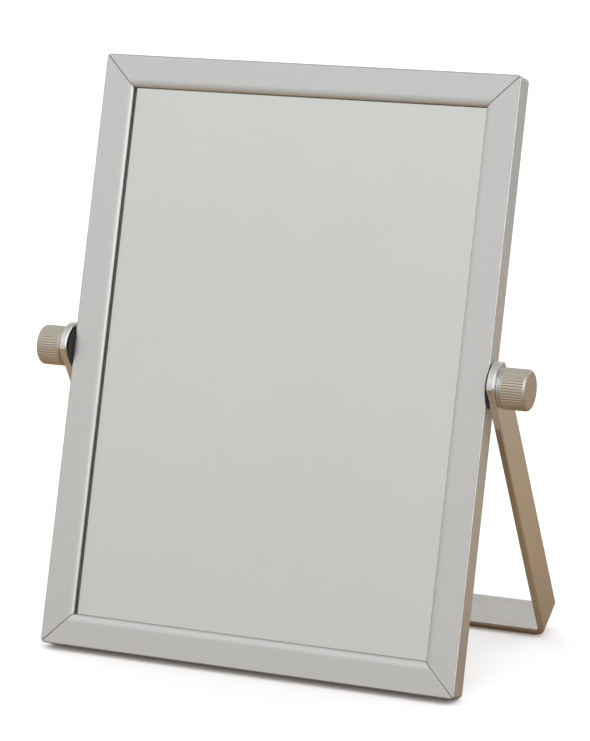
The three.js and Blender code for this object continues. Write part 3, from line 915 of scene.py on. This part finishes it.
def knob_radius_at(x, radius, angle):
    """The knurling: narrow grooves along X, from the smooth rim into the rounded end."""
    if x <= KNOB_RIM:
        return radius
    from_groove = abs((KNURL_COUNT * angle / (2 * math.pi)) % 1 - 0.5)
    groove = max(0.0, 1 - from_groove / KNURL_WIDTH)
    run_out = min(1.0, (x - KNOB_RIM) / (0.4 * MM))
    return min(radius, KNOB_RADIUS - KNURL_DEPTH * run_out * groove)


def make_knob(side):
    """A knurled head with a smooth rim, a rounded end and a blind bore for the stud."""
    bore = STUD_RADIUS + 2 * CONTACT_GAP
    rim_round = arc((KNOB_RIM_ROUND, KNOB_RADIUS - KNOB_RIM_ROUND), KNOB_RIM_ROUND, 180, 90, 4)
    end_x, end_radius = KNOB_LENGTH - KNOB_END_RADIUS, KNOB_RADIUS - KNOB_END_RADIUS
    profile = [(KNOB_BORE_DEPTH, 0), (KNOB_BORE_DEPTH, bore), (0, bore), (0, 6 * MM)]
    profile += rim_round
    profile += [(KNOB_RIM + step * 0.1 * MM, KNOB_RADIUS) for step in range(5)]
    profile += [(KNOB_RIM + 3 * MM, KNOB_RADIUS), (end_x - 2 * MM, KNOB_RADIUS)]
    profile += arc((end_x, end_radius), KNOB_END_RADIUS, 90, 0, 12)
    profile += [(KNOB_LENGTH, end_radius * share) for share in (0.97, 0.66, 0.33, 0)]
    obj = lathe(f"knob_head_{side}_visual", profile, KNURL_COUNT * 8, knob_radius_at)
    smooth(obj, 40)
    grain(obj, turned_x)
    place = side_place(side, KNOB_X)
    finish_piece(obj, f"{side}_knob", place, NICKEL, "satin_nickel", f"knob_head_{side}")


def thread_radius_at(x, radius, angle):
    """A 60-degree thread with flat crests, out to the knob's inner face."""
    if x > 0 or radius < STUD_RADIUS:
        return radius
    turn = (x / THREAD_PITCH - angle / (2 * math.pi)) % 1
    flank = abs(2 * turn - 1)
    cut = min(1.0, max(0.0, (flank - 0.12) / 0.7))
    fade = min(1.0, -x / (0.5 * MM))
    return radius - THREAD_DEPTH * cut * fade


def make_stud(side):
    """A threaded rod whose plain end sits in the knob."""
    node = f"threaded_stud_{side}"
    place = side_place(side, KNOB_X)
    low, high = local_box(node, place)
    tip, top = low.x, high.x
    step = THREAD_PITCH / 8
    count = int((-tip - STUD_TIP_CHAMFER) / step)
    profile = [
        (tip, 0),
        (tip, STUD_RADIUS - STUD_TIP_CHAMFER - 0.1 * MM),
        (tip + 0.1 * MM, STUD_RADIUS - STUD_TIP_CHAMFER),
    ]
    profile += [(tip + STUD_TIP_CHAMFER + i * step, STUD_RADIUS) for i in range(count + 1)]
    profile += [
        (0, STUD_RADIUS),
        (top - STUD_TOP_CHAMFER, STUD_RADIUS),
        (top, STUD_RADIUS - STUD_TOP_CHAMFER),
        (top, 0),
    ]
    obj = lathe(f"{node}_visual", profile, 32, thread_radius_at)
    smooth(obj, 60)
    grain(obj, along_x)
    finish_piece(obj, f"{side}_stud", place, ZINC_STUD, "zinc_plated_stud", node)


# ---------------------------------------------------------------- stand

def bar_path():
    """The bar's middle line from one leg's top to the other's, as (x, z, outward x, outward z). The
    two ends have no height: there the bar follows the arc that ends a leg."""
    middle_x = BEND_X + BEND_RADIUS
    leg_top = 5 * MM
    leg_steps, bend_steps, floor_steps = 20, 14, 24
    path = [(-middle_x, None, -1, 0)]
    for i in range(leg_steps):
        path.append((-middle_x, leg_top + (BEND_Z - leg_top) * i / leg_steps, -1, 0))
    for i in range(bend_steps):
        turn = math.pi * (1 + i / bend_steps / 2)
        out_x, out_z = math.cos(turn), math.sin(turn)
        path.append((BEND_RADIUS * out_x - BEND_X, BEND_Z + BEND_RADIUS * out_z, out_x, out_z))
    floor = []
    for i in range(floor_steps + 1):
        floor.append((BEND_X * (2 * i / floor_steps - 1), BEND_Z - BEND_RADIUS, 0, -1))
    other_leg = [(-x, z, -out_x, out_z) for x, z, out_x, out_z in reversed(path)]
    return path + floor + other_leg


def bar_coordinates(co):
    """Where a point of the bent bar is along the bar and across it, as if it were flat."""
    x, z = abs(co.x) - BEND_X, co.z - BEND_Z
    if z > 0:
        along = BEND_X + BEND_RADIUS * math.pi / 2 + z
    elif x > 0:
        along = BEND_X + BEND_RADIUS * math.atan2(x, -z)
    else:
        along = abs(co.x)
    return (math.copysign(along, co.x), co.y, 0.0)


def make_stand():
    """The bent bar: its edges are rounded first, and the pivot holes are cut after that."""
    reach = math.asin(HALF_BAR / LEG_END_RADIUS)
    columns = 16
    turns = [reach * (2 * j / columns - 1) for j in range(columns + 1)]
    layers = []
    for through in (-BAR_THICKNESS / 2, BAR_THICKNESS / 2):
        grid = []
        for x, z, out_x, out_z in bar_path():
            line = []
            for turn in turns:
                height = LEG_END_RADIUS * math.cos(turn) if z is None else z
                across = LEG_END_RADIUS * math.sin(turn)
                line.append((x + through * out_x, across, height + through * out_z))
            grid.append(line)
        layers.append(grid)
    obj = sheet_solid("stand_bracket_visual", *layers)
    bevel_edges(obj, BAR_EDGE_ROUND, 5, "ANGLE", 45)
    cutters = []
    for side in (-1, 1):
        centre = (side * LEG_OUTER_X, 0, 0)
        cutters.append(round_cutter(STUD_HOLE_RADIUS, centre, "X", 6 * BAR_THICKNESS))
    subtract(obj, cutters)
    shade_rounded(obj)
    grain(obj, bar_coordinates)
    finish_piece(obj, "stand", STAND_PLACE, STEEL_BAR, "brushed_steel_bar", "stand_bracket")


# ---------------------------------------------------------------- inner pieces kept from the CAD

def keep_cad(node, material):
    """Gives a CAD node that stays as it is its material, and flat faces."""
    NODES[node].data.materials.clear()
    NODES[node].data.materials.append(material)
    for polygon in NODES[node].data.polygons:
        polygon.use_smooth = False


# ---------------------------------------------------------------- the room

# What a reflection sees at each height, from -1 straight down to 1 straight up. The floor covers
# nearly all of what lies below 0.
ROOM_BY_HEIGHT = (
    (-1.00, (0.20, 0.115, 0.05)),
    (-0.60, (0.28, 0.18, 0.10)),
    (-0.30, (0.37, 0.27, 0.185)),
    (-0.12, (0.47, 0.44, 0.40)),
    (0.00, (0.50, 0.485, 0.455)),
    (0.07, (0.55, 0.54, 0.515)),
    (0.19, (0.615, 0.615, 0.605)),
    (0.37, (0.71, 0.71, 0.705)),
    (0.60, (0.83, 0.84, 0.835)),
    (1.00, (0.57, 0.57, 0.555)),
)
DIM_BEHIND = (0.48, 0.475, 0.45)
WINDOW_DIRECTION = (0.78, -0.40, 0.48)
WINDOW_COLOUR = (1.45, 1.45, 1.44)
WINDOW_CORE = math.radians(18)
WINDOW_EDGE = math.radians(40)
WHITE_STRENGTH = 1.35
FLOOR_HALF = 8.0
LIGHT_SIZE = (2.5, 2.5)


def make_floor():
    corners = [(-FLOOR_HALF, -FLOOR_HALF, 0), (FLOOR_HALF, -FLOOR_HALF, 0),
               (FLOOR_HALF, FLOOR_HALF, 0), (-FLOOR_HALF, FLOOR_HALF, 0)]
    floor = mesh_object("floor", corners, [[0, 1, 2, 3]])
    floor.data.materials.append(pale_floor())


def make_world():
    """White for the floor and the camera. What the metal and the mirror reflect is a room: pale
    above, dimmer behind the mirror, brown below, and with a bright window to the front right."""
    world = bpy.data.worlds.new("room")
    bpy.context.scene.world = world
    world.use_nodes = True
    tree = world.node_tree
    tree.nodes.clear()
    link = tree.links.new

    def add(kind, *inputs, **settings):
        node = tree.nodes.new(kind)
        for key, value in settings.items():
            setattr(node, key, value)
        for socket, value in inputs:
            if isinstance(value, bpy.types.NodeSocket):
                link(value, node.inputs[socket])
            else:
                node.inputs[socket].default_value = value
        return node

    def soft_step(value, start, end):
        ramp = add("ShaderNodeMapRange", ("Value", value), ("From Min", start), ("From Max", end))
        ramp.interpolation_type = "SMOOTHSTEP"
        return ramp.outputs["Result"]

    direction = add("ShaderNodeTexCoord").outputs["Generated"]
    split = add("ShaderNodeSeparateXYZ", (0, direction))
    height = add("ShaderNodeMapRange", ("Value", split.outputs["Z"]), ("From Min", -1.0))
    ramp = add("ShaderNodeValToRGB", ("Fac", height.outputs["Result"]))
    stops = ramp.color_ramp.elements
    stops.remove(stops[1])
    stops[0].position = 0.0
    stops[0].color = (*ROOM_BY_HEIGHT[0][1], 1)
    for level, colour in ROOM_BY_HEIGHT[1:]:
        stops.new((level + 1) / 2).color = (*colour, 1)

    behind = soft_step(split.outputs["Y"], -0.15, 0.35)
    above = soft_step(split.outputs["Z"], 0.25, 0.7)
    dim = add("ShaderNodeMath", (0, behind), (1, above), operation="MULTIPLY")
    room = add("ShaderNodeMix", ("Factor", dim.outputs[0]), (6, ramp.outputs[0]),
               (7, (*DIM_BEHIND, 1)), data_type="RGBA")
    facing = add("ShaderNodeVectorMath", (0, direction), (1, WINDOW_DIRECTION),
                 operation="DOT_PRODUCT")
    in_window = soft_step(facing.outputs["Value"], math.cos(WINDOW_EDGE), math.cos(WINDOW_CORE))
    lit_room = add("ShaderNodeMix", ("Factor", in_window), (6, room.outputs[2]),
                   (7, (*WINDOW_COLOUR, 1)), data_type="RGBA")

    reflected = add("ShaderNodeBackground", ("Color", lit_room.outputs[2]))
    white = add("ShaderNodeBackground", ("Color", (1, 1, 1, 1)), ("Strength", WHITE_STRENGTH))
    ray = add("ShaderNodeLightPath")
    choose = add("ShaderNodeMixShader", ("Fac", ray.outputs["Is Glossy Ray"]),
                 (1, white.outputs[0]), (2, reflected.outputs[0]))
    add("ShaderNodeOutputWorld", ("Surface", choose.outputs[0]))


def area_light(name, position, target, size, power):
    data = bpy.data.lights.new(name, "AREA")
    data.shape = "RECTANGLE"
    data.size, data.size_y = size
    data.energy = power
    light = bpy.data.objects.new(name, data)
    light.location = position
    aim = Vector(target) - Vector(position)
    light.rotation_euler = aim.to_track_quat("-Z", "Y").to_euler()
    light.visible_glossy = False  # the room has its own reflections
    bpy.context.scene.collection.objects.link(light)


def make_lights():
    area_light("key", (1.6, -1.8, 2.4), PIVOT, LIGHT_SIZE, 4)
    area_light("fill", (-1.8, 1.2, 2.2), PIVOT, LIGHT_SIZE, 3)


def make_camera():
    data = bpy.data.cameras.new("camera")
    data.lens = CAMERA_LENS
    data.sensor_width = 36
    camera = bpy.data.objects.new("camera", data)
    toward = Vector((
        math.sin(CAMERA_AZIMUTH) * math.cos(CAMERA_ELEVATION),
        -math.cos(CAMERA_AZIMUTH) * math.cos(CAMERA_ELEVATION),
        math.sin(CAMERA_ELEVATION),
    ))
    camera.location = CAMERA_TARGET + CAMERA_DISTANCE * toward
    camera.rotation_euler = toward.to_track_quat("Z", "Y").to_euler()
    bpy.context.scene.collection.objects.link(camera)
    bpy.context.scene.camera = camera


# ---------------------------------------------------------------- everything together

make_camera()
make_rails()
make_glass_pack()
for spring_node in sorted(n for n in NODES if n.startswith("leaf_spring")):
    leaf_spring(spring_node)
make_corner_screws()
for side_name in SIDES:
    make_washers(side_name)
    make_knob(side_name)
    make_stud(side_name)
    keep_cad(f"nut_block_{side_name}", ZINC_BLOCK)
for corner_name in CORNERS:
    keep_cad(f"corner_key_{corner_name}", ZINC_CASTING)
make_stand()
make_floor()
make_world()
make_lights()

bpy.context.scene.view_settings.view_transform = "Standard"
